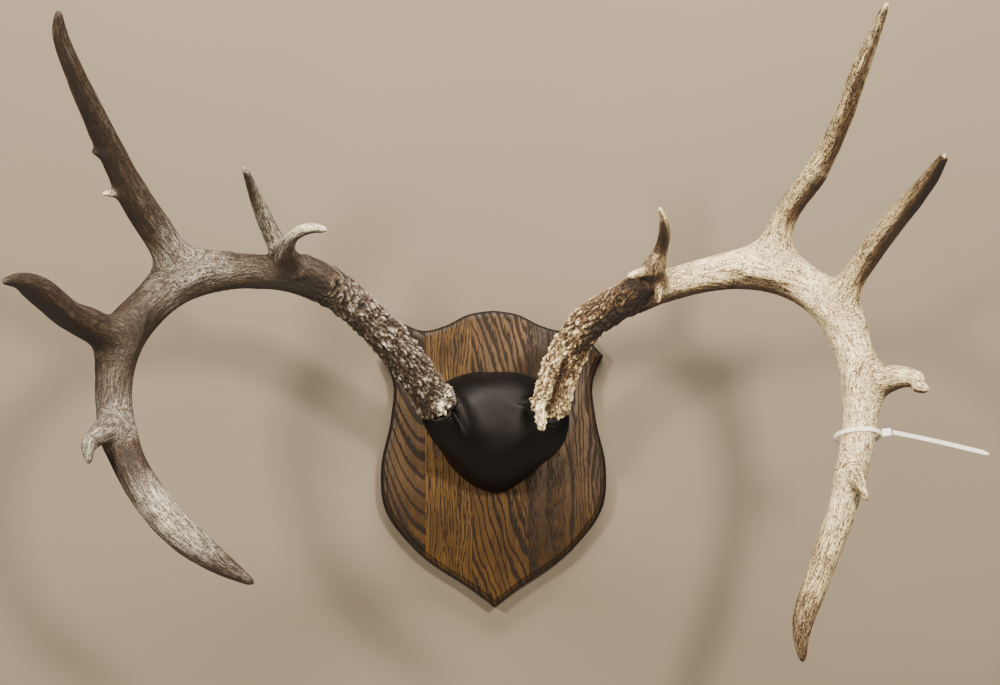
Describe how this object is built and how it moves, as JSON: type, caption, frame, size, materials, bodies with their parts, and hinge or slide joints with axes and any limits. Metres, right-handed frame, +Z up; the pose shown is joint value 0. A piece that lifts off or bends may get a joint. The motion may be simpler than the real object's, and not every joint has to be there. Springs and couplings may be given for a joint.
{
  "type": "white-tailed deer antler plaque mount",
  "caption": "Wide white-tailed deer antlers on a leather-covered skull cap, fixed to an oak shield plaque that hangs on a wall.",
  "frame": {"origin": "centre of the plaque's flat back, on the wall", "axes": "+Z up, +X to the right as seen from the front, +Y into the wall, so the antlers reach out along -Y"},
  "size_m": [0.7273, 0.3599, 0.484],
  "materials": {
    "stained_oak": "brown stained oak with dark open grain under satin varnish, and a near-black routed edge",
    "zinc_steel": "zinc plated",
    "black_leather": "smooth, soft satin sheen",
    "grey_brown_antler": "bare antler bone, dark brown and rough at the base, grooved grey along the beam, polished at the tips",
    "pale_antler": "bare antler bone, cream with fine dark flecks, pearled brown at the base, polished at the tips",
    "white_nylon": "moulded, slightly translucent white"
  },
  "bodies": {
    "root": {"plaque_board": "stained_oak", "hanger_plate": "zinc_steel", "hanger_nail_left": "zinc_steel", "hanger_nail_right": "zinc_steel", "back_screw_left": "zinc_steel", "back_screw_right": "zinc_steel", "skull_cap_cover": "black_leather", "left_burr": "grey_brown_antler", "left_beam_base": "grey_brown_antler", "left_beam_middle": "grey_brown_antler", "left_beam_outer": "grey_brown_antler", "left_beam_lower": "grey_brown_antler", "left_beam_tip": "grey_brown_antler", "left_brow_tine_back": "grey_brown_antler", "left_brow_tine_hook": "grey_brown_antler", "left_second_tine": "grey_brown_antler", "left_third_tine": "grey_brown_antler", "left_fourth_tine": "grey_brown_antler", "right_burr": "pale_antler", "right_beam_base": "pale_antler", "right_beam_middle": "pale_antler", "right_beam_outer": "pale_antler", "right_beam_upper_side": "pale_antler", "right_beam_lower_side": "pale_antler", "right_beam_tip": "pale_antler", "right_brow_tine": "pale_antler", "right_brow_knob": "pale_antler", "right_brow_spike": "pale_antler", "right_second_tine": "pale_antler", "right_third_tine": "pale_antler", "right_fourth_tine": "pale_antler", "right_fifth_tine": "pale_antler", "cable_tie_loop": "white_nylon", "cable_tie_head": "white_nylon", "cable_tie_tail": "white_nylon"}
  },
  "joints": []
}
